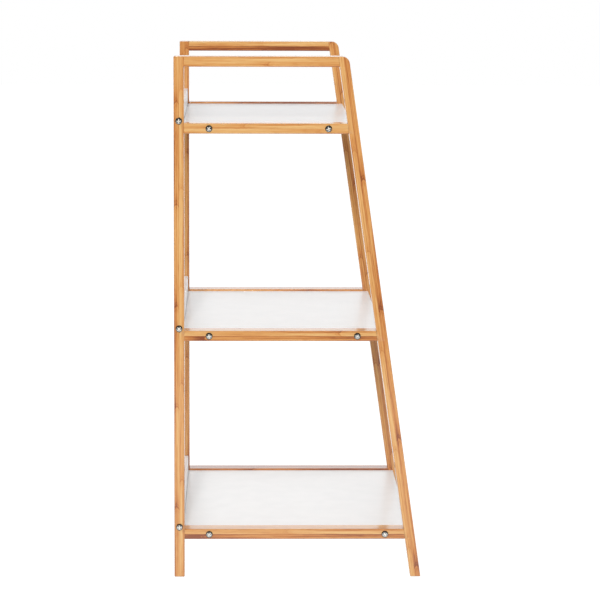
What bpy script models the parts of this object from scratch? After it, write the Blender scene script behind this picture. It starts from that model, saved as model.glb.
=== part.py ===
"""Ladder shelf with three tiers, in metres, +Z up.

Two bamboo side frames stand upright, each a vertical back post and a leaning front leg
joined by four rails. White boards span between the frames, with a white stop board along
the back of each, and screws driven through the frames from outside hold them.

X runs along the shelf, the leaning legs are at the front (-Y) and the posts at the back.
The origin is on the floor, in the middle of the footprint. Left is -X.
"""

import math

import bmesh
import bpy
from mathutils import Matrix, Vector

# Overall sizes
WIDTH = 0.600  # over the outer faces of the side frames
HEIGHT = 0.920
BASE_DEPTH = 0.436  # back of the posts to the front of the legs, on the floor
TOP_DEPTH = 0.304  # the same, level with the top of the frames

# Bamboo bars of the side frames
BAR_FACE = 0.018  # seen from the side
BAR_DEEP = 0.036  # along the shelf
BAR_EDGE = 0.0012  # rounding of every edge
LEG_TOP_RADIUS = 0.013  # the leg's outer corner at the top
LEG_TOP_STEPS = 6

# Tiers, by the tops of their rails
LOWER_RAIL_TOP = 0.086  # above the floor
HANDLE_RISE = 0.116  # from the upper rail's top to the top of the frame
MIDDLE_DROP = 0.005  # the middle tier is this far below halfway

# White boards
BOARD_THICKNESS = 0.012
BOARD_DROP = 0.003  # board top below the rail tops
BOARD_REACH = 0.010  # how far a board runs in front of the back of the legs
STOP_THICKNESS = 0.013
STOP_HEIGHT = 0.044
BOARD_EDGE = 0.001
EDGE_STEPS = 2

# Screws, driven along X
HEAD_DIAMETER = 0.012
HEAD_HEIGHT = 0.0036
SHANK_DIAMETER = 0.005
SCREW_GRIP = 0.024  # length in the board
SCREW_TIP = 0.004
RECESS_SPAN = 0.0064
RECESS_WIDTH = 0.0016
RECESS_DEPTH = 0.0018
RECESS_TURN = math.radians(37.0)  # from each screw to the next
REAR_SCREW_SETBACK = 0.0435  # in front of the post
FRONT_SCREW_SETBACK = 0.0345  # behind the leg

# Dowels
DOWEL_DIAMETER = 0.008  # rail ends, along Y
DOWEL_LENGTH = 0.030
DOWEL_IN_UPRIGHT = 0.012
PEG_DIAMETER = 0.006  # ends of the stop boards, along X
PEG_LENGTH = 0.018
PEG_IN_POST = 0.008
PEG_HEIGHT = 0.010  # above the bottom of the stop board
DOWEL_CHAMFER = 0.001

# Fits
FIT = 0.0003  # between faces that meet, and round a shank or dowel
END_ROOM = 0.0006  # past the end of a dowel or screw in its hole
OVERCUT = 0.004  # how far a cutter starts outside the wood
ROUND_STEPS = 12

# Worked out from the sizes above
POST_BACK = BASE_DEPTH / 2
POST_MIDDLE = POST_BACK - BAR_FACE / 2
POST_FRONT = POST_BACK - BAR_FACE
LEAN = (BASE_DEPTH - TOP_DEPTH) / HEIGHT
LEG_ANGLE = math.atan(LEAN)
LEG_WIDE = BAR_FACE / math.cos(LEG_ANGLE)
BAR_MIDDLE_X = (WIDTH - BAR_DEEP) / 2
UPPER_RAIL_TOP = HEIGHT - HANDLE_RISE
MIDDLE_RAIL_TOP = (UPPER_RAIL_TOP + LOWER_RAIL_TOP) / 2 - MIDDLE_DROP
RAIL_TOPS = {"upper": UPPER_RAIL_TOP, "middle": MIDDLE_RAIL_TOP, "lower": LOWER_RAIL_TOP}
BOARD_LENGTH = WIDTH - 2 * BAR_DEEP - 2 * FIT
STOP_FRONT = POST_MIDDLE - STOP_THICKNESS / 2
SIDES = {"left": -1, "right": 1}

BAMBOO = ((0.72, 0.42, 0.17), 0.42, 0.0)
WHITE = ((0.86, 0.87, 0.88), 0.38, 0.0)
STEEL = ((0.42, 0.42, 0.40), 0.32, 1.0)
DOWEL_WOOD = ((0.62, 0.44, 0.26), 0.70, 0.0)


def leg_front(z):
    """Y of the leg's front face at height z."""
    return LEAN * z - BASE_DEPTH / 2


def leg_back(z):
    """Y of the leg's rear face at height z."""
    return leg_front(z) + LEG_WIDE


def add_object(name, bm, place, parent=None):
    """Makes an object from a bmesh, which is in the object's own coordinates."""
    mesh = bpy.data.meshes.new(name)
    bmesh.ops.recalc_face_normals(bm, faces=bm.faces)
    bm.to_mesh(mesh)
    bm.free()
    obj = bpy.data.objects.new(name, mesh)
    obj.location = place
    obj.parent = parent
    bpy.context.scene.collection.objects.link(obj)
    return obj


def add_group(name, place):
    """An empty that carries the pieces of one sub-assembly."""
    empty = bpy.data.objects.new(name, None)
    empty.location = place
    bpy.context.scene.collection.objects.link(empty)
    return empty


def finish(obj, look):
    """Gives a piece its own Principled material: base colour, roughness and metallic."""
    colour, roughness, metallic = look
    material = bpy.data.materials.new(obj.name + "_finish")
    material.use_nodes = True
    shader = material.node_tree.nodes["Principled BSDF"]
    shader.inputs["Base Color"].default_value = (*colour, 1.0)
    shader.inputs["Roughness"].default_value = roughness
    shader.inputs["Metallic"].default_value = metallic
    material.diffuse_color = (*colour, 1.0)
    obj.data.materials.append(material)


def shade_round(obj):
    """Smooth shading that keeps the sharp rims."""
    obj.data.shade_smooth()
    obj.data.set_sharp_from_angle(angle=math.radians(40.0))


def round_edges(obj, width):
    bevel = obj.modifiers.new("edges", "BEVEL")
    bevel.width = width
    bevel.segments = EDGE_STEPS
    bevel.limit_method = "ANGLE"
    bevel.angle_limit = math.radians(40.0)


def cut(obj, cutter, name):
    cutter.hide_render = True
    cutter.display_type = "WIRE"
    boolean = obj.modifiers.new(name, "BOOLEAN")
    boolean.operation = "DIFFERENCE"
    boolean.solver = "EXACT"
    boolean.object = cutter


def drill(obj, bores):
    """Cuts round holes. Each bore is its mouth, direction, diameter and depth."""
    bm = bmesh.new()
    for mouth, direction, diameter, depth in bores:
        length = depth + OVERCUT
        middle = Vector(mouth) + direction * (depth - OVERCUT) / 2 - obj.location
        turn = Vector((0, 0, 1)).rotation_difference(direction).to_matrix().to_4x4()
        bmesh.ops.create_cone(
            bm,
            cap_ends=True,
            segments=ROUND_STEPS,
            radius1=diameter / 2,
            radius2=diameter / 2,
            depth=length,
            matrix=Matrix.Translation(middle) @ turn,
        )
    cutter = add_object(obj.name + "_bores", bm, obj.location, obj.parent)
    cut(obj, cutter, "bores")


def bar(name, outline, parent):
    """A bamboo bar: an outline of (y, z) points, as thick as BAR_DEEP along X."""
    low_y = min(y for y, z in outline)
    low_z = min(z for y, z in outline)
    bm = bmesh.new()
    ring = [bm.verts.new((-BAR_DEEP / 2, y - low_y, z - low_z)) for y, z in outline]
    face = bm.faces.new(ring)
    swept = bmesh.ops.extrude_face_region(bm, geom=[face])["geom"]
    moved = [part for part in swept if isinstance(part, bmesh.types.BMVert)]
    bmesh.ops.translate(bm, verts=moved, vec=(BAR_DEEP, 0, 0))
    obj = add_object(name, bm, (0, low_y, low_z), parent)
    round_edges(obj, BAR_EDGE)
    finish(obj, BAMBOO)
    return obj


def board(name, low, high, parent):
    """A white board from its lowest to its highest corner."""
    low = Vector(low)
    high = Vector(high)
    bm = bmesh.new()
    size = Matrix.Diagonal((*(high - low), 1.0))
    bmesh.ops.create_cube(bm, size=1.0, matrix=size)
    obj = add_object(name, bm, (low + high) / 2, parent)
    round_edges(obj, BOARD_EDGE)
    finish(obj, WHITE)
    return obj


def turned(name, profile, place, along, parent, look):
    """A turned piece: (radius, distance) points from its start to its end, along an axis."""
    bm = bmesh.new()
    line = [bm.verts.new((radius, 0, distance)) for radius, distance in profile]
    edges = [bm.edges.new(pair) for pair in zip(line, line[1:])]
    bmesh.ops.spin(
        bm,
        geom=line + edges,
        cent=(0, 0, 0),
        axis=(0, 0, 1),
        angle=2 * math.pi,
        steps=ROUND_STEPS,
    )
    bmesh.ops.remove_doubles(bm, verts=bm.verts, dist=0.00001)
    turn = Vector((0, 0, 1)).rotation_difference(along).to_matrix()
    bmesh.ops.rotate(bm, cent=(0, 0, 0), matrix=turn, verts=bm.verts)
    obj = add_object(name, bm, place, parent)
    shade_round(obj)
    finish(obj, look)
    return obj


def dowel(name, start, along, diameter, length, parent):
    """A round wooden dowel with chamfered ends."""
    radius = diameter / 2
    narrow = radius - DOWEL_CHAMFER
    profile = [
        (0, 0),
        (narrow, 0),
        (radius, DOWEL_CHAMFER),
        (radius, length - DOWEL_CHAMFER),
        (narrow, length),
        (0, length),
    ]
    return turned(name, profile, start, along, parent, DOWEL_WOOD)


def screw(name, seat, along, turn, parent):
    """A pan-head screw seated on a bar's outer face, with a cross recess in its head."""
    rim = HEAD_DIAMETER / 2
    shank = SHANK_DIAMETER / 2
    length = BAR_DEEP + FIT + SCREW_GRIP
    profile = [
        (0, -HEAD_HEIGHT),
        (0.55 * rim, -0.93 * HEAD_HEIGHT),
        (0.88 * rim, -0.66 * HEAD_HEIGHT),
        (rim, -0.25 * HEAD_HEIGHT),
        (rim, 0),
        (shank, 0),
        (shank, length - SCREW_TIP),
        (0, length),
    ]
    place = Vector(seat) - FIT * along
    obj = turned(name, profile, place, along, parent, STEEL)

    half_span = RECESS_SPAN / 2
    half_width = RECESS_WIDTH / 2
    arm = [(half_width, half_width), (half_width, half_span), (-half_width, half_span)]
    cross = []
    for quarter in range(4):
        spin = Matrix.Rotation(turn + quarter * math.pi / 2, 2)
        cross += [spin @ Vector(point) for point in arm]
    bm = bmesh.new()
    outside = -along.x * (HEAD_HEIGHT + OVERCUT)
    ring = [bm.verts.new((outside, y, z)) for y, z in cross]
    face = bm.faces.new(ring)
    swept = bmesh.ops.extrude_face_region(bm, geom=[face])["geom"]
    moved = [part for part in swept if isinstance(part, bmesh.types.BMVert)]
    reach = OVERCUT + RECESS_DEPTH
    bmesh.ops.translate(bm, verts=moved, vec=(along.x * reach, 0, 0))
    cutter = add_object(name + "_recess", bm, place, parent)
    cut(obj, cutter, "recess")
    return obj


def rail_outline(top):
    """A rail between post and leg: square at the post, cut to the lean at the leg."""
    bottom = top - BAR_FACE
    back = POST_FRONT - FIT
    return [
        (back, bottom),
        (back, top),
        (leg_back(top) + FIT, top),
        (leg_back(bottom) + FIT, bottom),
    ]


def leg_outline():
    """The leaning leg, level at the foot and the top, with a rounded front top corner."""
    corner = Vector((leg_front(HEIGHT), HEIGHT))
    opening = math.pi / 2 - LEG_ANGLE
    reach = LEG_TOP_RADIUS * math.tan(opening / 2)
    centre = corner + Vector((reach, -LEG_TOP_RADIUS))
    outline = [
        (leg_front(0), 0),
        (leg_back(0), 0),
        (leg_back(HEIGHT), HEIGHT),
    ]
    for step in range(LEG_TOP_STEPS + 1):
        angle = math.pi / 2 + opening * step / LEG_TOP_STEPS
        spoke = Vector((math.cos(angle), math.sin(angle)))
        outline.append(tuple(centre + LEG_TOP_RADIUS * spoke))
    return outline


def side_frame(side_name, side):
    """Post, leg, four rails and the dowels in the rail ends. Bores follow the dowels."""
    frame = add_group(side_name + "_frame", (side * BAR_MIDDLE_X, 0, 0))
    inward = Vector((-side, 0, 0))
    outer_x = side * BAR_DEEP / 2
    inner_x = -outer_x
    shank_bore = SHANK_DIAMETER + 2 * FIT
    peg_bore = PEG_DIAMETER + 2 * FIT
    dowel_bore = DOWEL_DIAMETER + 2 * FIT
    forward = Vector((0, -1, 0))
    backward = Vector((0, 1, 0))
    in_rail = DOWEL_LENGTH - DOWEL_IN_UPRIGHT

    post_outline = [(POST_FRONT, 0), (POST_BACK, 0), (POST_BACK, HEIGHT), (POST_FRONT, HEIGHT)]
    post_bores = []
    leg_bores = []
    for tier, top in {"top": HEIGHT, **RAIL_TOPS}.items():
        height = top - BAR_FACE / 2
        rail_name = "top_rail" if tier == "top" else tier + "_shelf_rail"
        rail = bar(f"{side_name}_{rail_name}", rail_outline(top), frame)
        upright_depth = DOWEL_IN_UPRIGHT + END_ROOM
        rail_depth = in_rail + END_ROOM
        at_post = (0, POST_FRONT, height)
        at_leg = (0, leg_back(height), height)
        post_bores.append((at_post, backward, dowel_bore, upright_depth))
        leg_bores.append((at_leg, forward, dowel_bore, upright_depth))
        bores = [
            ((0, POST_FRONT - FIT, height), forward, dowel_bore, rail_depth),
            ((0, leg_back(height) + FIT, height), backward, dowel_bore, rail_depth),
        ]
        rear_start = (0, POST_FRONT + DOWEL_IN_UPRIGHT, height)
        front_start = (0, leg_back(height) - DOWEL_IN_UPRIGHT, height)
        name = f"{side_name}_{tier}"
        dowel(name + "_rear_dowel", rear_start, forward, DOWEL_DIAMETER, DOWEL_LENGTH, frame)
        dowel(name + "_front_dowel", front_start, backward, DOWEL_DIAMETER, DOWEL_LENGTH, frame)
        if tier != "top":
            for y in board_screw_places(top):
                mouth = (outer_x, y, board_middle(top))
                bores.append((mouth, inward, shank_bore, BAR_DEEP + OVERCUT))
            stop_screw_mouth = (outer_x, POST_MIDDLE, stop_middle(top))
            post_bores.append((stop_screw_mouth, inward, shank_bore, BAR_DEEP + OVERCUT))
            peg_mouth = (inner_x, POST_MIDDLE, peg_middle(top))
            post_bores.append((peg_mouth, -inward, peg_bore, PEG_IN_POST + END_ROOM))
        drill(rail, bores)

    drill(bar(side_name + "_back_post", post_outline, frame), post_bores)
    drill(bar(side_name + "_front_leg", leg_outline(), frame), leg_bores)


def board_middle(top):
    """Height of the middle of the shelf board whose rails end at top."""
    return top - BOARD_DROP - BOARD_THICKNESS / 2


def stop_bottom(top):
    return top - BAR_FACE


def stop_middle(top):
    return stop_bottom(top) + STOP_HEIGHT / 2


def peg_middle(top):
    return stop_bottom(top) + PEG_HEIGHT


def board_screw_places(top):
    """Y of the rear and the front screw through each shelf rail."""
    height = board_middle(top)
    return (POST_FRONT - REAR_SCREW_SETBACK, leg_back(height) + FRONT_SCREW_SETBACK)


def tier_boards(tier, top, group):
    """Shelf board and stop board of one tier, drilled in their ends for screws and pegs."""
    half = BOARD_LENGTH / 2
    front = leg_back(top - BOARD_DROP) - BOARD_REACH
    low = (-half, front, top - BOARD_DROP - BOARD_THICKNESS)
    high = (half, STOP_FRONT - FIT, top - BOARD_DROP)
    shelf = board(tier + "_shelf_board", low, high, group)
    low = (-half, STOP_FRONT, stop_bottom(top))
    high = (half, STOP_FRONT + STOP_THICKNESS, stop_bottom(top) + STOP_HEIGHT)
    stop = board(tier + "_stop_board", low, high, group)

    shank_bore = SHANK_DIAMETER + 2 * FIT
    peg_bore = PEG_DIAMETER + 2 * FIT
    screw_depth = SCREW_GRIP + END_ROOM
    peg_depth = PEG_LENGTH - PEG_IN_POST + END_ROOM
    shelf_bores = []
    stop_bores = []
    for side in SIDES.values():
        inward = Vector((-side, 0, 0))
        end_x = side * half
        for y in board_screw_places(top):
            shelf_bores.append(((end_x, y, board_middle(top)), inward, shank_bore, screw_depth))
        stop_screw_mouth = (end_x, POST_MIDDLE, stop_middle(top))
        stop_bores.append((stop_screw_mouth, inward, shank_bore, screw_depth))
        peg_mouth = (end_x, POST_MIDDLE, peg_middle(top))
        stop_bores.append((peg_mouth, inward, peg_bore, peg_depth))
    drill(shelf, shelf_bores)
    drill(stop, stop_bores)


def tier_fasteners(side_name, side, tier, top, group, turn):
    """Three screws and one peg that hold one side of a tier."""
    inward = Vector((-side, 0, 0))
    seat_x = side * WIDTH / 2
    rear_y, front_y = board_screw_places(top)
    seats = {
        "rear_board_screw": (rear_y, board_middle(top)),
        "front_board_screw": (front_y, board_middle(top)),
        "stop_screw": (POST_MIDDLE, stop_middle(top)),
    }
    for kind, (y, z) in seats.items():
        screw(f"{side_name}_{tier}_{kind}", (seat_x, y, z), inward, turn, group)
        turn += RECESS_TURN
    post_inner_x = seat_x - side * BAR_DEEP
    start = (post_inner_x + side * PEG_IN_POST, POST_MIDDLE, peg_middle(top))
    dowel(f"{side_name}_{tier}_stop_peg", start, inward, PEG_DIAMETER, PEG_LENGTH, group)
    return turn


def build():
    for obj in list(bpy.data.objects):
        bpy.data.objects.remove(obj, do_unlink=True)
    for side_name, side in SIDES.items():
        side_frame(side_name, side)
    boards = add_group("boards", (0, 0, 0))
    fasteners = add_group("fasteners", (0, 0, 0))
    turn = 0.0
    for tier, top in RAIL_TOPS.items():
        tier_boards(tier, top, boards)
        for side_name, side in SIDES.items():
            turn = tier_fasteners(side_name, side, tier, top, fasteners, turn)
    bpy.context.view_layer.update()


build()
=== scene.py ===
import math

import bmesh
import bpy
from mathutils import Euler, Matrix, Vector


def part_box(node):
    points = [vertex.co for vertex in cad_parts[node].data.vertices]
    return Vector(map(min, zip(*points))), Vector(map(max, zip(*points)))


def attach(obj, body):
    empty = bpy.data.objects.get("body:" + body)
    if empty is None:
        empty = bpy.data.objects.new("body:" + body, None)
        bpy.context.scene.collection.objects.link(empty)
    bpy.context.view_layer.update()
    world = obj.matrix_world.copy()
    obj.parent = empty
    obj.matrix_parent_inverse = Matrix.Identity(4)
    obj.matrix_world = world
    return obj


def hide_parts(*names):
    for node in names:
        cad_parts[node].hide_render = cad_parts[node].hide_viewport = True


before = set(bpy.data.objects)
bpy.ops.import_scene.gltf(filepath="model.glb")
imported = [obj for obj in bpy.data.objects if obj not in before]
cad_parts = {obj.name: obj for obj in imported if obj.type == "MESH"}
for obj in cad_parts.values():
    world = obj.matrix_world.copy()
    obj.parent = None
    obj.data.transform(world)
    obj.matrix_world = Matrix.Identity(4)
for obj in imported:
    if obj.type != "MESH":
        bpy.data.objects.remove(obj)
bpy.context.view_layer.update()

# ---------------------------------------------------------------------------
# The camera. It stands well back from the left end of the shelf, a little above its top,
# and looks along the boards through a long lens.
CAMERA_PLACE = (-5.393, 0.109, 1.179)
CAMERA_YAW = 0.0219  # turned from +X towards the front
CAMERA_PITCH = 0.1335  # below the horizon
CAMERA_ROLL = 0.0035
CAMERA_LENS = 176.2
SENSOR = 36.0

camera_data = bpy.data.cameras.new("camera")
camera_data.lens = CAMERA_LENS
camera_data.sensor_width = SENSOR
camera = bpy.data.objects.new("camera", camera_data)
bpy.context.scene.collection.objects.link(camera)
camera.location = CAMERA_PLACE
heading = Euler((math.pi / 2 - CAMERA_PITCH, 0, -math.pi / 2 - CAMERA_YAW)).to_matrix()
camera.rotation_euler = (heading @ Matrix.Rotation(CAMERA_ROLL, 3, "Z")).to_euler()
bpy.context.scene.camera = camera


# ---------------------------------------------------------------------------
# The room: white paper on the floor of a white studio, which is dimmer behind the camera.
# One lamp above the camera shines along the boards, and two broad ones stand beyond the
# shelf's right end, one towards its front and one towards its back.
def grey(light):
    return (light, light, light, 1.0)


FLOOR_MIDDLE = (5.7, 0.0, 0.0)
FLOOR_SPAN = (16.6, 18.0, 1.0)
PAPER_GLOW = grey(1.0)
PAPER_BOUNCE = grey(0.17)
PAPER_WHITE = grey(0.15)
PAPER_ROUGHNESS = 0.9

# The studio itself, the light it gives, and what shines back from lacquer and zinc
BACKDROP = grey(1.0)
GROUND_LIGHT = grey(0.06)
LOW_LIGHT = (0.49, 0.42, 0.38, 1.0)
HIGH_LIGHT = grey(0.38)
FAR_LIGHT = grey(0.85)
BACKDROP_SHINE = (0.98, 0.99, 1.01, 1.0)
DARK_SHINE = grey(0.06)
CEILING_SHINE = grey(0.22)


class Signal:
    """One output of a shader node. Sums and products of signals add Math nodes, and every
    other node comes from node()."""

    def __init__(self, tree, socket=None):
        self.tree = tree
        self.socket = socket

    def node(self, kind, settings=None, inputs=None, output=0):
        made = self.tree.nodes.new(kind)
        for name, value in (settings or {}).items():
            if name == "stops":
                ramp = made.color_ramp
                while len(ramp.elements) < len(value):
                    ramp.elements.new(0.5)
                for element, (place, colour) in zip(ramp.elements, value):
                    element.position = place
                    element.color = colour
            else:
                setattr(made, name, value)
        for name, value in (inputs or {}).items():
            target = made.inputs[name]
            if isinstance(value, Signal):
                self.tree.links.new(value.socket, target)
            else:
                target.default_value = value
        return Signal(self.tree, made.outputs[output])

    def maths(self, operation, *values):
        return self.node("ShaderNodeMath", {"operation": operation}, dict(enumerate(values)))

    def __add__(self, other):
        return self.maths("ADD", self, other)

    __radd__ = __add__

    def __sub__(self, other):
        return self.maths("SUBTRACT", self, other)

    def __rsub__(self, other):
        return self.maths("SUBTRACT", other, self)

    def __mul__(self, other):
        return self.maths("MULTIPLY", self, other)

    __rmul__ = __mul__

    def __truediv__(self, other):
        return self.maths("DIVIDE", self, other)

    def __rtruediv__(self, other):
        return self.maths("DIVIDE", other, self)

    def __gt__(self, other):
        return self.maths("GREATER_THAN", self, other)

    def fraction(self):
        return self.maths("FRACT", self)

    def whole(self):
        return self.maths("FLOOR", self)

    def size(self):
        return self.maths("ABSOLUTE", self)

    def between(self, low, high):
        """0 below low, 1 above high, and a smooth step from one to the other."""
        settings = {"interpolation_type": "SMOOTHSTEP"}
        inputs = {"Value": self, "From Min": low, "From Max": high}
        return self.node("ShaderNodeMapRange", settings, inputs)

    def near(self, middle, inner, outer):
        """1 closer to the middle than inner, 0 further than outer, and smooth between."""
        return 1 - (self - middle).size().between(inner, outer)

    def blend(self, first, second):
        """The colour that is first where this signal is 0 and second where it is 1."""
        inputs = {0: self, 6: first, 7: second}
        return self.node("ShaderNodeMix", {"data_type": "RGBA"}, inputs, 2)

    def axis(self, letter):
        return self.node("ShaderNodeSeparateXYZ", inputs={0: self}, output=letter)

    def stretch(self, grain):
        """This place with its axes stretched, so that a noise there is a grain."""
        inputs = {0: self, 1: grain}
        return self.node("ShaderNodeVectorMath", {"operation": "MULTIPLY"}, inputs)

    def noise(self, detail, grain=1.0):
        inputs = {"Vector": self, "Scale": grain, "Detail": detail}
        return self.node("ShaderNodeTexNoise", inputs=inputs)

    def chance(self):
        """A number from 0 to 1, the same wherever this signal is the same."""
        settings = {"noise_dimensions": "1D"}
        return self.node("ShaderNodeTexWhiteNoise", settings, {"W": self})

    def bump(self, strength, distance):
        inputs = {"Height": self, "Strength": strength, "Distance": distance}
        return self.node("ShaderNodeBump", inputs=inputs)


def new_material(name):
    """A Principled material, and the signal from which its nodes are made."""
    material = bpy.data.materials.new(name)
    material.use_nodes = True
    return material, Signal(material.node_tree), material.node_tree.nodes["Principled BSDF"]


def plug(signal, shader, name):
    signal.tree.links.new(signal.socket, shader.inputs[name])


def deselect():
    bpy.ops.object.select_all(action="DESELECT")


def soft_lamp(name, place, target, width, height, power):
    """An area lamp that shines from place towards target, seen in no reflection."""
    data = bpy.data.lights.new(name, "AREA")
    data.shape = "RECTANGLE"
    data.size = width
    data.size_y = height
    data.energy = power
    lamp = bpy.data.objects.new(name, data)
    bpy.context.scene.collection.objects.link(lamp)
    lamp.location = place
    lamp.rotation_euler = (Vector(target) - Vector(place)).to_track_quat("-Z", "Y").to_euler()
    lamp.visible_glossy = False
    lamp.visible_camera = False


deselect()
bpy.ops.mesh.primitive_plane_add(size=1.0, location=FLOOR_MIDDLE)
floor = bpy.context.object
floor.name = "floor"
floor.scale = FLOOR_SPAN
floor_material, floor_nodes, floor_shader = new_material("floor_paper")
floor_shader.inputs["Base Color"].default_value = PAPER_WHITE
floor_shader.inputs["Roughness"].default_value = PAPER_ROUGHNESS
floor_shader.inputs["Specular IOR Level"].default_value = 0.0
floor_shader.inputs["Emission Strength"].default_value = 1.0
bounced = floor_nodes.node("ShaderNodeLightPath", output="Is Diffuse Ray")
plug(bounced.blend(PAPER_GLOW, PAPER_BOUNCE), floor_shader, "Emission Color")
floor.data.materials.append(floor_material)

bpy.context.scene.view_settings.view_transform = "Standard"
world = bpy.data.worlds.new("studio")
bpy.context.scene.world = world
world.use_nodes = True
sky = Signal(world.node_tree)
direction = sky.node("ShaderNodeTexCoord", output="Generated")
onward = direction.axis("X")  # 1 straight past the shelf's right end
upward = direction.axis("Z")  # 0 at the horizon, 1 overhead
lit = upward.between(0.1, 0.8).blend(LOW_LIGHT, HIGH_LIGHT)
lit = onward.between(0.0, 0.4).blend(lit, FAR_LIGHT)
lit = upward.between(0.0, 0.2).blend(GROUND_LIGHT, lit)
shine = onward.between(-0.3, 0.5).blend(DARK_SHINE, BACKDROP_SHINE)
shine = upward.between(0.45, 0.85).blend(shine, CEILING_SHINE)
mirrored = sky.node("ShaderNodeLightPath", output="Is Glossy Ray")
seen = sky.node("ShaderNodeLightPath", output="Is Camera Ray")
background = world.node_tree.nodes["Background"]
plug(seen.blend(mirrored.blend(lit, shine), BACKDROP), background, "Color")

soft_lamp("camera_lamp", (-5.6, 0.37, 2.52), (0, 0, 0.6), width=0.6, height=2.1, power=242)
soft_lamp("front_lamp", (1.1, -3.3, 2.9), (0, 0, 0.4), width=2.0, height=2.0, power=34)
soft_lamp("back_lamp", (1.1, 3.3, 2.9), (0, 0, 0.4), width=2.0, height=2.0, power=34)


# ---------------------------------------------------------------------------
# Back posts: upright square-ended bars of bamboo, glued up from strips of split cane,
# planed and lacquered. Their long edges are eased by a small cutter that stops at each
# joint, and they are bored for the screws, pegs and dowels that hold the boards and rails.
BAR_FACE = 0.018
BAR_DEEP = 0.036
EDGE_ROUND = 0.0016
ROUND_SEGMENTS = 5
BORE_ROOM = 0.0006  # how much wider a bore is than what lies in it
BORE_SIDES = 32
SHANK = 0.005
HAIR = 0.0004  # two places closer than this count as one
SHARP_ANGLE = math.radians(35.0)
LYING = {0: (0, math.pi / 2, 0), 1: (math.pi / 2, 0, 0)}  # turns a cylinder along X or Y
SIDES = {"left": -1, "right": 1}
TIERS = ("upper", "middle", "lower")

# The strips a bar is glued up from: two across its face and three through its depth. The
# shift keeps a glue line from falling on the outside of the bar.
STRIP_FACE = BAR_FACE / 2
STRIP_DEEP = BAR_DEEP / 3
STRIP_SHIFT = 0.0005
GLUE_WANDER = 0.0012
GLUE_DARK = 0.28
# The darker band along each eased edge is painted shade, in place of the rounding turning away from
# the light.
EDGE_SHADE_BAND = 0.0030  # how wide the darker tone along an eased edge is

PALE = (0.85, 0.530, 0.215, 1.0)
HONEY = (0.745, 0.365, 0.115, 1.0)
CARAMEL = (0.58, 0.210, 0.054, 1.0)
BROWN = (0.28, 0.076, 0.024, 1.0)
BAMBOO_TONES = ((0.0, PALE), (0.36, HONEY), (0.68, CARAMEL), (1.0, BROWN))

# Grains to the metre, twice across the cane and once along it
RIPPLE_GRAIN = (60.0, 60.0, 28.0)
STREAK_GRAIN = (480.0, 480.0, 6.0)
FIBRE_GRAIN = (2300.0, 2300.0, 50.0)
DASH_GRAIN = (560.0, 560.0, 34.0)
WAVE_GRAIN = (220.0, 220.0, 120.0)

# The knuckles of the cane: how far the scars arch and waver, and how far along the cane
# from the first scar everything else lies
SCAR_ARCH = 0.022
SCAR_WAVE = 0.007
SECOND_SCAR = 0.0060
STAIN_LENGTH = 0.055
HALO = -0.0030
LIGHT_RIM = -0.0032

# The tones of a post's two strips, and then where each strip's knuckles start, how far
# apart they are and how strong
POST_TONES = {"left": (0.24, 0.38), "right": (0.40, 0.38)}
POST_KNUCKLES = {
    "left": ((0.863, 0.172, 0.35), (0.842, 0.179, 0.6)),
    "right": ((0.307, 0.200, 0.5), (0.160, 0.240, 0.6)),
}
POST_SEEDS = {"left": 3.0, "right": 8.0}


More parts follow.
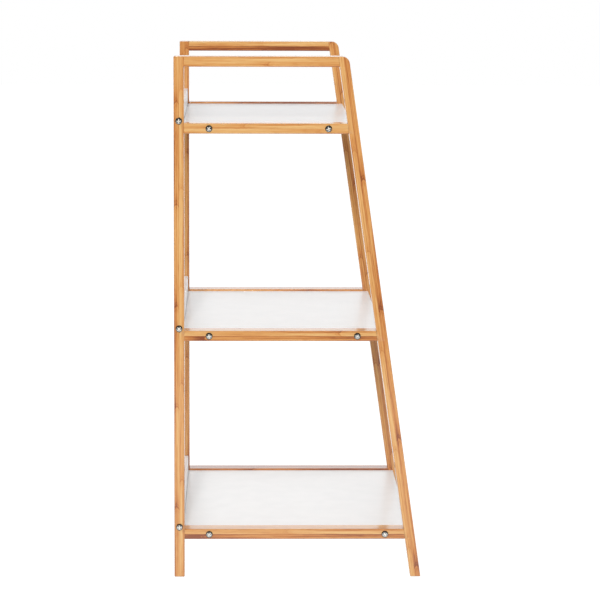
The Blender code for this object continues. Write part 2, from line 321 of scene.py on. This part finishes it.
def bamboo(name, corner, turn, tones, knuckles, seed):
    """Bamboo for one bar whose strips run along Z once it is turned about X. Each of its
    two strips has a tone, and knuckles from one place on, so far apart and so strong."""
    material, nodes, shader = new_material(name)
    place = nodes.node("ShaderNodeTexCoord", output="Object")
    inputs = {"Vector": place, "Location": corner, "Rotation": (turn, 0, 0)}
    bar_place = nodes.node("ShaderNodeMapping", {"vector_type": "TEXTURE"}, inputs)
    deep, across, along = [bar_place.axis(letter) for letter in "XYZ"]

    # Which strip a point is in. The joint between two strips wanders a little.
    ripple = bar_place.stretch(RIPPLE_GRAIN).noise(detail=3.0)
    face_step = (across + (ripple - 0.5) * GLUE_WANDER) / STRIP_FACE
    is_second = face_step > 1.0
    deep_step = (deep + STRIP_SHIFT) / STRIP_DEEP
    deep_cell = deep_step.whole()
    is_behind = deep_cell > 0.5
    strip = is_second * 7.31 + deep_cell * 3.17 + seed  # a number of its own for each strip
    shade = strip.chance()
    is_flipped = (strip + 51.7).chance() > 0.5

    # How far across its strip a point lies, and how far from the cane's pith to its skin
    face_share = face_step - is_second
    skinward = face_share + is_flipped * (1 - 2 * face_share)

    # The grain: a slow drift of tone in each strip, streaks, fine fibres and short dashes
    drift_inputs = {0: along * 6.0, 1: strip * 2.9, 2: across * 90.0}
    drift = nodes.node("ShaderNodeCombineXYZ", inputs=drift_inputs).noise(detail=2.0)
    streaks = bar_place.stretch(STREAK_GRAIN).noise(detail=4.0)
    fibres = bar_place.stretch(FIBRE_GRAIN).noise(detail=2.0)
    dashes = bar_place.stretch(DASH_GRAIN).noise(detail=1.0)

    # A knuckle: a light rim, two curved scars with a dark halo, and a stain that fades
    # along the strip
    wave = bar_place.stretch(WAVE_GRAIN).noise(detail=2.0)
    arch = (face_share - 0.5) * (face_share - 0.5) * SCAR_ARCH + (wave - 0.5) * SCAR_WAVE
    start, spacing, strength = [
        first + (second - first) * is_second for first, second in zip(*knuckles)]
    step = (along - start) / spacing + is_behind * shade + 0.5
    beyond = (step.fraction() - 0.5) * spacing + arch
    scar = beyond.near(0.0, 0.0003, 0.0022)
    second_scar = beyond.near(SECOND_SCAR, 0.0002, 0.0018)
    light_rim = beyond.near(LIGHT_RIM, 0.0, 0.0030)
    fade = 1 - beyond.between(0.0, STAIN_LENGTH)
    core = 1 - (face_share - 0.5).size().between(0.10, 0.50) * 0.6
    stain = (beyond > 0.0) * fade * fade * core
    stain = stain + beyond.near(HALO, 0.0, 0.010) * 0.5

    # The higher the tone, the browner the cane. Each number is how much its cause counts.
    # Painted shade: the tone darkens in a band along each eased long edge of the bar.
    face_edge_shade, deep_edge_shade = [
        (way - width / 2).size().between(width / 2 - EDGE_SHADE_BAND, (width - EDGE_ROUND) / 2)
        for way, width in ((across, BAR_FACE), (deep, BAR_DEEP))]
    tone = tones[0] + (tones[1] - tones[0]) * is_second
    tone = tone + is_behind * (shade - 0.5) * 0.35 + (shade - 0.5) * 0.08
    tone = tone + (skinward - 0.5) * 0.20 + (drift - 0.5) * 0.70 + face_edge_shade * deep_edge_shade * 0.19
    tone = tone + (streaks - 0.5) * 1.50 + (fibres - 0.5) * 0.30
    tone = tone + dashes.between(0.52, 0.70) * 0.16
    tone = tone + (stain * 0.42 + scar * 0.36 + second_scar * 0.22 - light_rim * 0.16) * strength
    colour = nodes.node("ShaderNodeValToRGB", {"stops": BAMBOO_TONES}, {0: tone})

    # Fine brown flecks of the fibre bundles, thicker towards the skin, and the glue lines
    fleck = (fibres + skinward * 0.10).between(0.62, 0.74) * 0.30
    colour = fleck.blend(colour, BROWN)
    face_glue = face_step.near(1.0, 0.002, 0.030)
    deep_glue = (deep_step.fraction() - 0.5).size().between(0.480, 0.498)
    glue = face_glue.maths("MAXIMUM", face_glue, deep_glue) * GLUE_DARK
    plug(glue.blend(colour, BROWN), shader, "Base Color")

    plug(0.40 + (streaks - 0.5) * 0.16 + scar * 0.06, shader, "Roughness")
    height = streaks * 0.5 + fibres * 0.5 - scar * 0.4 * strength
    plug(height.bump(strength=0.25, distance=0.0003), shader, "Normal")
    shader.inputs["Coat Weight"].default_value = 1.0
    shader.inputs["Coat Roughness"].default_value = 0.12
    return material


def pick(piece, kind, test):
    """In edit mode, selects the vertices, edges or faces for which test(part, middle) holds."""
    if bpy.context.mode != "OBJECT":
        bpy.ops.object.mode_set(mode="OBJECT")
    bpy.context.view_layer.objects.active = piece
    bpy.ops.object.mode_set(mode="EDIT")
    bpy.ops.mesh.select_mode(type=kind)
    bpy.ops.mesh.select_all(action="DESELECT")
    bm = bmesh.from_edit_mesh(piece.data)
    parts = {"VERT": bm.verts, "EDGE": bm.edges, "FACE": bm.faces}[kind]
    for part in parts:
        corners = [part.co] if kind == "VERT" else [vert.co for vert in part.verts]
        part.select_set(bool(test(part, sum(corners, Vector()) / len(corners))))
    bm.select_flush_mode()
    bmesh.update_edit_mesh(piece.data)


def leave_edit():
    bpy.ops.object.mode_set(mode="OBJECT")


def block(name, low, high):
    """A box between two corners, with its place in its mesh."""
    deselect()
    bpy.ops.mesh.primitive_cube_add(size=1.0, location=(low + high) / 2, scale=high - low)
    piece = bpy.context.object
    piece.name = name
    bpy.ops.object.transform_apply(location=True, rotation=True, scale=True)
    return piece


def is_sharp(edge):
    return len(edge.link_faces) == 2 and edge.calc_face_angle() > SHARP_ANGLE


def round_edges(piece, width, test):
    """Rounds the sharp edges for which the test holds, and leaves edit mode."""
    pick(piece, "EDGE", lambda edge, middle: is_sharp(edge) and test(edge, middle))
    bpy.ops.mesh.bevel(offset=width, segments=ROUND_SEGMENTS, profile=0.5, affect="EDGES")
    leave_edit()


def cut_levels(piece, levels):
    """Cuts the faces of a piece along level planes, so that an edge can change there."""
    for level in levels:
        pick(piece, "FACE", lambda face, middle: True)
        bpy.ops.mesh.bisect(plane_co=(0, 0, level), plane_no=(0, 0, 1))
    leave_edit()


def cut_out(piece, cutter):
    """Cuts the space that the cutter fills out of the piece."""
    bpy.context.view_layer.objects.active = piece
    bpy.ops.object.modifier_add(type="BOOLEAN")
    boolean = piece.modifiers[-1]
    boolean.operation = "DIFFERENCE"
    boolean.solver = "EXACT"
    boolean.object = cutter
    bpy.ops.object.modifier_apply(modifier=boolean.name)
    bpy.data.objects.remove(cutter, do_unlink=True)


def longest_side(size):
    return max(range(3), key=lambda i: size[i])


def bore(piece, nodes, diameter=None):
    """Cuts the holes that the named round pieces lie in, each along its longest side."""
    drills = []
    for node in nodes:
        low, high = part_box(node)
        size = high - low
        axis = longest_side(size)
        deselect()
        bpy.ops.mesh.primitive_cylinder_add(
            vertices=BORE_SIDES,
            radius=((diameter or min(size)) + BORE_ROOM) / 2,
            depth=size[axis] + 2 * BORE_ROOM,
            location=(low + high) / 2,
            rotation=LYING[axis],
        )
        drills.append(bpy.context.object)
    deselect()
    for drill in drills:
        drill.select_set(True)
    bpy.context.view_layer.objects.active = drills[0]
    bpy.ops.object.join()
    cut_out(piece, bpy.context.object)


def smooth(piece):
    deselect()
    piece.select_set(True)
    bpy.context.view_layer.objects.active = piece
    bpy.ops.object.shade_smooth_by_angle(angle=SHARP_ANGLE)


def smooth_flats(piece):
    """Smooth rounded edges beside flat faces."""
    smooth(piece)
    bpy.ops.object.modifier_add(type="WEIGHTED_NORMAL")
    weighted = piece.modifiers[-1]
    weighted.keep_sharp = True
    bpy.ops.object.modifier_apply(modifier=weighted.name)


def settle(piece, node, material):
    """The finished piece stands for its CAD node, in its own material."""
    piece.data.materials.clear()
    piece.data.materials.append(material)
    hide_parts(node)
    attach(piece, "root")


def rail_levels(side):
    """The lowest and highest level of each of the four rails of a side frame."""
    rails = [side + "_top_rail"] + [f"{side}_{tier}_shelf_rail" for tier in TIERS]
    return [(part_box(rail)[0].z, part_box(rail)[1].z) for rail in rails]


def at_joint(levels, middle):
    return any(bottom - HAIR < middle.z < top + HAIR for bottom, top in levels)


for side in SIDES:
    node = side + "_back_post"
    low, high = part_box(node)
    levels = rail_levels(side)
    post = block(side + "_post_bar", low, high)
    cut_levels(post, [z for pair in levels for z in pair if z < high.z - HAIR])
    round_edges(post, EDGE_ROUND, lambda edge, middle: not (
        middle.y < low.y + HAIR and at_joint(levels, middle)))
    bore(post, [f"{side}_{tier}_stop_screw" for tier in TIERS], SHANK)
    bore(post, [f"{side}_{tier}_stop_peg" for tier in TIERS])
    bore(post, [f"{side}_{tier}_rear_dowel" for tier in ("top", *TIERS)])
    smooth_flats(post)
    wood = bamboo(side + "_post_bamboo", low, 0.0, POST_TONES[side], POST_KNUCKLES[side],
                  POST_SEEDS[side])
    settle(post, node, wood)


# ---------------------------------------------------------------------------
# Front legs: the same bamboo bar, sawn level at the foot and the top so that it leans
# back, with its outer top corner turned on a large radius where a hand meets it. Dowels
# join the four rails to its back.
CORNER_RADIUS = 0.013
CORNER_SEGMENTS = 16
LEG_TONES = {"left": (0.48, 0.24), "right": (0.43, 0.40)}
LEG_KNUCKLES = {
    "left": ((0.021, 0.2315, 0.9), (0.055, 0.178, 0.35)),
    "right": ((0.120, 0.178, 0.6), (0.300, 0.210, 0.4)),
}
LEG_SEEDS = {"left": 14.0, "right": 21.0}

TOP_DEPTH = 0.304
TOP_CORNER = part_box("left_back_post")[1]
HEIGHT = TOP_CORNER.z
FOOT_FRONT = -TOP_CORNER.y
TOP_FRONT = TOP_CORNER.y - TOP_DEPTH
LEAN = (TOP_FRONT - FOOT_FRONT) / HEIGHT
LEG_ANGLE = math.atan(LEAN)
LEG_WIDE = BAR_FACE / math.cos(LEG_ANGLE)


def leg_back(z):
    return FOOT_FRONT + LEAN * z + LEG_WIDE


for side in SIDES:
    node = side + "_front_leg"
    box_low, box_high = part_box(node)
    low = Vector((box_low.x, FOOT_FRONT, 0))
    high = Vector((box_high.x, FOOT_FRONT + LEG_WIDE, HEIGHT))
    levels = rail_levels(side)
    leg = block(side + "_leg_bar", low, high)
    pick(leg, "VERT", lambda vert, middle: middle.z > HEIGHT / 2)
    bpy.ops.transform.translate(value=(0, LEAN * HEIGHT, 0))
    pick(leg, "EDGE", lambda edge, middle: middle.z > HEIGHT - HAIR and middle.y < TOP_FRONT + HAIR)
    reach = CORNER_RADIUS * math.tan((math.pi / 2 - LEG_ANGLE) / 2)
    bpy.ops.mesh.bevel(offset=reach, segments=CORNER_SEGMENTS, profile=0.5)
    cut_levels(leg, [z for pair in levels for z in pair if z < HEIGHT - HAIR])
    round_edges(leg, EDGE_ROUND, lambda edge, middle: not (
        middle.y > leg_back(middle.z) - HAIR and at_joint(levels, middle)))
    bore(leg, [f"{side}_{tier}_front_dowel" for tier in ("top", *TIERS)])
    smooth_flats(leg)
    wood = bamboo(side + "_leg_bamboo", low, -LEG_ANGLE, LEG_TONES[side], LEG_KNUCKLES[side],
                  LEG_SEEDS[side])
    settle(leg, node, wood)


# ---------------------------------------------------------------------------
# Rails of the same bamboo bar: the top rail is the handle of each side frame, and the
# other three carry the boards. Each is square at the post, sawn to the leg's lean in
# front, and dowelled and glued to both.
RAIL_SEED = 30.0
SEED_STEP = 4.7
RAIL_KNUCKLE_SPACING = 0.6
JOINT_CLOSED = 0.0002  # so that no light shows through a butt joint

# The tones of the upper and the lower strip, then how far from the post the upper strip's
# knuckle is and how strong, and the same for the lower strip's
RAIL_STRIPS = {
    "left_top_rail": ((0.18, 0.34), (0.45, 0.0), (0.145, 0.4)),
    "left_upper_shelf_rail": ((0.24, 0.20), (0.104, 0.4), (0.235, 0.2)),
    "left_middle_shelf_rail": ((0.26, 0.54), (0.271, 0.6), (0.034, 1.5)),
    "left_lower_shelf_rail": ((0.28, 0.66), (0.180, 0.2), (0.026, 1.5)),
    # The right top rail's lower strip is set almost to the darkest tone, far darker than the strip
    # above it.
    "right_top_rail": ((0.10, 0.98), (0.140, 0.2), (0.200, 0.3)),
    "right_upper_shelf_rail": ((0.55, 0.50), (0.100, 0.5), (0.210, 0.5)),
    "right_middle_shelf_rail": ((0.50, 0.52), (0.230, 0.5), (0.070, 0.5)),
    "right_lower_shelf_rail": ((0.80, 0.60), (0.120, 0.5), (0.290, 0.5)),
}

for number, (node, (tones, *places)) in enumerate(RAIL_STRIPS.items()):
    low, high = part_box(node)
    length = high.y - low.y
    middle_y = (low.y + high.y) / 2
    rail = block(node + "_bar", low, high)
    pick(rail, "VERT", lambda vert, middle: middle.y < middle_y and middle.z > low.z + HAIR)
    bpy.ops.transform.translate(value=(0, LEAN * (high.z - low.z), 0))
    pick(rail, "VERT", lambda vert, middle: middle.y < middle_y)
    bpy.ops.transform.translate(value=(0, -JOINT_CLOSED, 0))
    pick(rail, "VERT", lambda vert, middle: middle.y > middle_y)
    bpy.ops.transform.translate(value=(0, JOINT_CLOSED, 0))
    leave_edit()
    round_edges(rail, EDGE_ROUND, lambda edge, middle: abs(
        edge.verts[0].co.y - edge.verts[1].co.y) > length / 2)
    side, tier = node.split("_")[:2]
    bore(rail, [f"{side}_{tier}_rear_dowel", f"{side}_{tier}_front_dowel"])
    if tier in TIERS:
        bore(rail, [f"{side}_{tier}_{end}_board_screw" for end in ("rear", "front")], SHANK)
    smooth_flats(rail)
    knuckles = [(length - from_post, RAIL_KNUCKLE_SPACING, strong) for from_post, strong in places]
    wood = bamboo(node + "_bamboo", (low.x, low.y, high.z), -math.pi / 2, tones, knuckles,
                  RAIL_SEED + SEED_STEP * number)
    settle(rail, node, wood)


# ---------------------------------------------------------------------------
# Shelf boards and stop boards: white lacquered fibreboard, screwed through the frames
# into their ends. Every edge is eased, and the paint shows the faint waviness of a
# sprayed and rolled surface.
BOARD_ROUND = 0.0010
CORNER_ROUND = 0.0030
CORNER_STEPS = 6
LACQUER_DULL = (0.875, 0.88, 0.88, 1.0)
LACQUER_BRIGHT = (0.91, 0.912, 0.912, 1.0)
CLOUD_GRAIN = 26.0
PEEL_GRAIN = 520.0


def lacquer():
    material, nodes, shader = new_material("white_lacquer")
    place = nodes.node("ShaderNodeTexCoord", output="Object")
    cloud = place.noise(detail=4.0, grain=CLOUD_GRAIN)
    peel = place.noise(detail=2.0, grain=PEEL_GRAIN)
    tint = cloud.between(0.3, 0.7).blend(LACQUER_DULL, LACQUER_BRIGHT)
    plug(tint, shader, "Base Color")
    plug(0.36 + (cloud - 0.5) * 0.20 + (peel - 0.5) * 0.06, shader, "Roughness")
    plug(peel.bump(strength=0.10, distance=0.0002), shader, "Normal")
    shader.inputs["Coat Weight"].default_value = 0.15
    shader.inputs["Coat Roughness"].default_value = 0.15
    return material


white_lacquer = lacquer()
for tier in TIERS:
    node = tier + "_shelf_board"
    low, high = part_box(node)
    shelf = block(tier + "_shelf_panel", low, high)
    pick(shelf, "EDGE", lambda edge, middle: abs(middle.x) > high.x - HAIR
         and middle.y < low.y + HAIR and low.z + HAIR < middle.z < high.z - HAIR)
    bpy.ops.mesh.bevel(offset=CORNER_ROUND, segments=CORNER_STEPS, profile=0.5)
    leave_edit()
    round_edges(shelf, BOARD_ROUND, lambda edge, middle: True)
    screws = [f"{side}_{tier}_{end}_board_screw" for side in SIDES for end in ("rear", "front")]
    bore(shelf, screws, SHANK)
    smooth_flats(shelf)
    settle(shelf, node, white_lacquer)

    node = tier + "_stop_board"
    low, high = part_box(node)
    stop = block(tier + "_stop_panel", low, high)
    round_edges(stop, BOARD_ROUND, lambda edge, middle: True)
    bore(stop, [f"{side}_{tier}_stop_screw" for side in SIDES], SHANK)
    bore(stop, [f"{side}_{tier}_stop_peg" for side in SIDES])
    smooth_flats(stop)
    settle(stop, node, white_lacquer)


# ---------------------------------------------------------------------------
# Screws: zinc-plated pan heads with a cross-shaped recess, driven from outside through
# the frame into the ends of the boards. The head's rim is darkened towards black as
# painted shade, and the recess is painted near white as a painted highlight.
HEAD_RADIUS = 0.006
HEAD_HEIGHT = 0.0036
CROWN_RADIUS = 0.0043
CROWN_DROP = 0.0004
RIM_HEIGHT = 0.0006
RIM_SHADE_START = 0.0045
RIM_SHADE_FULL = 0.0053
RIM_STEPS = 6
SEAT_HEIGHT = 0.0002
SEAT_CHAMFER = 0.0003
TURN_STEPS = 40
THREAD_PITCH = 0.0018
THREAD_DEPTH = 0.0007
GROOVE_SLOPE = 1.6
RINGS_PER_PITCH = 6
TIP_LENGTH = 0.004
RECESS_SPAN = 0.0090
RECESS_WIDTH = 0.0019
RECESS_DEPTH = 0.0021
RECESS_TAPER = 0.70
RECESS_LIP = 0.0001
SPECK = 0.00001  # smaller than any detail of the screw
SCREW_TURN = math.radians(37.0)  # from each screw to the next

PLATE_DARK = (0.36, 0.37, 0.36, 1.0)
PLATE_LIGHT = (0.56, 0.57, 0.55, 1.0)
# painted shade: the near-black colour that the head's rim is darkened towards
RIM_PAINTED_SHADE = (0.035, 0.030, 0.026, 1.0)
# painted highlight: the near-white colour of the recess, in place of its bright reflection
RECESS_PAINTED_HIGHLIGHT = (0.93, 0.92, 0.88, 1.0)
MOTTLE_GRAIN = 900.0
SCRATCH_GRAIN = (500.0, 4200.0, 700.0)


def zinc():
    material, nodes, shader = new_material("zinc_plate")
    place = nodes.node("ShaderNodeTexCoord", output="Object")
    mottle = place.noise(detail=3.0, grain=MOTTLE_GRAIN)
    scratch = place.stretch(SCRATCH_GRAIN).noise(detail=2.0)
    rim, recess = [
        nodes.node("ShaderNodeAttribute", {"attribute_name": name}, output="Fac")
        for name in ("rim", "recess")]
    plate = mottle.blend(PLATE_DARK, PLATE_LIGHT)
    # Painted shade: the plating darkens towards black at the head's rim.
    plate = (rim * 0.92).blend(plate, RIM_PAINTED_SHADE)
    # Painted highlight: the recess is painted near white.
    plug(recess.blend(plate, RECESS_PAINTED_HIGHLIGHT), shader, "Base Color")
    plug(0.22 + mottle * 0.10 + (scratch - 0.5) * 0.08 + recess * 0.25, shader, "Roughness")
    plug(scratch.bump(strength=0.15, distance=0.0001), shader, "Normal")
    plug(1 - recess * 0.85, shader, "Metallic")
    return material


def head_outline():
    """Distance below the seat and radius, from the middle of the head to the shank."""
    points = [(-HEAD_HEIGHT, 0.0), (-HEAD_HEIGHT + CROWN_DROP / 4, CROWN_RADIUS / 2)]
    shoulder = HEAD_HEIGHT - CROWN_DROP - RIM_HEIGHT
    for step in range(RIM_STEPS + 1):
        angle = math.pi / 2 * step / RIM_STEPS
        radius = CROWN_RADIUS + (HEAD_RADIUS - CROWN_RADIUS) * math.sin(angle)
        points.append((-RIM_HEIGHT - shoulder * math.cos(angle), radius))
    return points + [
        (-SEAT_HEIGHT, HEAD_RADIUS), (0.0, HEAD_RADIUS - SEAT_CHAMFER), (0.0, SHANK / 2)]


def shank_outline(length):
    """Rings close enough for the thread to be drawn out of them, down to the point."""
    step = THREAD_PITCH / RINGS_PER_PITCH
    rings = int((length - TIP_LENGTH) / step)
    points = [(step * ring, SHANK / 2) for ring in range(1, rings + 1)]
    steps = int(TIP_LENGTH / step)
    for ring in range(1, steps):
        left = 1 - ring / steps
        points.append((length - TIP_LENGTH * left, SHANK / 2 * left))
    return points + [(length, 0.0)]


def turned(name, outline):
    """A turned piece along +X: its outline is drawn point by point and spun."""
    deselect()
    bpy.ops.mesh.primitive_plane_add(size=0.001, location=(0, 0, 0))
    piece = bpy.context.object
    piece.name = name
    bpy.ops.object.mode_set(mode="EDIT")
    bpy.ops.mesh.select_mode(type="VERT")
    bpy.ops.mesh.select_all(action="SELECT")
    bpy.ops.mesh.merge(type="CENTER")
    bpy.ops.transform.translate(value=(outline[0][0], 0, outline[0][1]))
    for (x0, r0), (x1, r1) in zip(outline, outline[1:]):
        bpy.ops.mesh.extrude_region_move(TRANSFORM_OT_translate={"value": (x1 - x0, 0, r1 - r0)})
    bpy.ops.mesh.select_all(action="SELECT")
    bpy.ops.mesh.spin(steps=TURN_STEPS, angle=2 * math.pi, center=(0, 0, 0), axis=(1, 0, 0))
    bpy.ops.mesh.select_all(action="SELECT")
    bpy.ops.mesh.remove_doubles(threshold=SPECK)
    bpy.ops.mesh.normals_make_consistent(inside=False)
    leave_edit()
    return piece


def cut_thread(piece):
    """Cuts a helical groove into the shank, which leaves a sharp crest between its turns."""
    for vert in piece.data.vertices:
        if vert.co.x > THREAD_PITCH and vert.co.yz.length > SPECK:
            turn = math.atan2(vert.co.z, vert.co.y) / (2 * math.pi)
            phase = (vert.co.x / THREAD_PITCH - turn) % 1.0
            groove = min(1.0, GROOVE_SLOPE * abs(2 * phase - 1))
            vert.co.yz *= 1 - THREAD_DEPTH * groove / (SHANK / 2)


def cross_cutter():
    """A tapered cross: a cube with an arm drawn out of each side, narrowed at the bottom."""
    deselect()
    bpy.ops.mesh.primitive_cube_add(size=RECESS_WIDTH, location=(0, 0, 0))
    cutter = bpy.context.object
    half = RECESS_WIDTH / 2
    arm = RECESS_SPAN / 2 - half
    for direction in ((0, 1, 0), (0, -1, 0), (0, 0, 1), (0, 0, -1)):
        outward = Vector(direction)
        pick(cutter, "FACE", lambda face, middle: (middle - outward * half).length < half * 0.2)
        bpy.ops.mesh.extrude_region_move(TRANSFORM_OT_translate={"value": outward * arm})
    pick(cutter, "VERT", lambda vert, middle: middle.x > 0)
    bpy.ops.transform.resize(value=(1, RECESS_TAPER, RECESS_TAPER), center_override=(half, 0, 0))
    leave_edit()
    depth = RECESS_DEPTH * 2
    cutter.data.transform(Matrix.Diagonal((depth / RECESS_WIDTH, 1, 1, 1)))
    cutter.data.transform(Matrix.Translation((RECESS_DEPTH - HEAD_HEIGHT - depth / 2, 0, 0)))
    return cutter


def mark_rim_shade_and_recess_highlight(piece):
    """Stores where the head's rim and its recess are, for the painted shade on the rim and the
    painted highlight in the recess.
    """
    rim = piece.data.attributes.new("rim", "FLOAT", "POINT")
    for vert in piece.data.vertices:
        share = (vert.co.yz.length - RIM_SHADE_START) / (RIM_SHADE_FULL - RIM_SHADE_START)
        rim.data[vert.index].value = min(1.0, max(0.0, share)) if vert.co.x < -SPECK else 0.0
    recess = piece.data.attributes.new("recess", "FLOAT", "FACE")
    crown = -HEAD_HEIGHT + CROWN_DROP
    for face in piece.data.polygons:
        middle = face.center
        inside = middle.yz.length < RECESS_SPAN / 2
        deep = middle.x > crown + RECESS_LIP or abs(face.normal.x) < 0.8
        recess.data[face.index].value = 1.0 if inside and deep and middle.x < 0 else 0.0


sample_low, sample_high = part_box("left_upper_stop_screw")
shank_length = sample_high.x - sample_low.x - HEAD_HEIGHT
master = turned("screw_master", head_outline() + shank_outline(shank_length))
cut_thread(master)
cut_out(master, cross_cutter())
mark_rim_shade_and_recess_highlight(master)
smooth(master)

zinc_plate = zinc()
turn = 0.0
for tier in TIERS:
    for side, sign in SIDES.items():
        for kind in ("stop_screw", "rear_board_screw", "front_board_screw"):
            node = f"{side}_{tier}_{kind}"
            low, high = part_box(node)
            piece = master.copy()
            piece.data = master.data.copy()
            piece.name = node + "_zinc"
            bpy.context.scene.collection.objects.link(piece)
            seat_x = low.x + HEAD_HEIGHT if sign < 0 else high.x - HEAD_HEIGHT
            facing = Matrix.Rotation(0.0 if sign < 0 else math.pi, 4, "Z")
            middle = (low + high) / 2
            seat = Matrix.Translation((seat_x, middle.y, middle.z))
            piece.data.transform(seat @ facing @ Matrix.Rotation(turn, 4, "X"))
            settle(piece, node, zinc_plate)
            turn += SCREW_TURN
bpy.data.objects.remove(master, do_unlink=True)


# ---------------------------------------------------------------------------
# Dowels and pegs: turned beech with pressed flutes that let the glue spread, hidden
# in the ends of the rails and of the stop boards.
FLUTES = 18
FLUTE_DEPTH = 0.00035
FLUTE_REACH = 0.0002
DOWEL_CHAMFER = 0.001
BEECH_RAY = (0.50, 0.33, 0.19, 1.0)
BEECH_PALE = (0.66, 0.47, 0.29, 1.0)
RAY_GRAIN = 700.0


def beech():
    material, nodes, shader = new_material("beech")
    place = nodes.node("ShaderNodeTexCoord", output="Object")
    rays = place.noise(detail=3.0, grain=RAY_GRAIN)
    plug(rays.blend(BEECH_RAY, BEECH_PALE), shader, "Base Color")
    plug(0.62 + rays * 0.15, shader, "Roughness")
    plug(rays.bump(strength=0.2, distance=0.0002), shader, "Normal")
    return material


def fluted(name, node):
    """A dowel the size of its CAD node, with every other edge of its side pressed in."""
    low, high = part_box(node)
    size = high - low
    axis = longest_side(size)
    radius = min(size) / 2
    half = size[axis] / 2
    deselect()
    bpy.ops.mesh.primitive_cylinder_add(vertices=2 * FLUTES, radius=radius, depth=size[axis])
    piece = bpy.context.object
    piece.name = name
    pick(piece, "FACE", lambda face, middle: abs(middle.z) > half - HAIR)
    bpy.ops.mesh.bevel(offset=DOWEL_CHAMFER, segments=2, affect="EDGES")
    leave_edit()
    for vert in piece.data.vertices:
        step = round(math.atan2(vert.co.y, vert.co.x) / math.pi * FLUTES)
        if step % 2 and vert.co.xy.length > radius - FLUTE_REACH:
            vert.co.xy *= (radius - FLUTE_DEPTH) / radius
    lying = Euler(LYING[axis]).to_matrix().to_4x4()
    piece.data.transform(Matrix.Translation((low + high) / 2) @ lying)
    return piece


beech_wood = beech()
for side in SIDES:
    for tier in ("top", *TIERS):
        kinds = ["rear_dowel", "front_dowel"]
        if tier in TIERS:
            kinds.append("stop_peg")
        for kind in kinds:
            node = f"{side}_{tier}_{kind}"
            settle(fluted(node + "_beech", node), node, beech_wood)
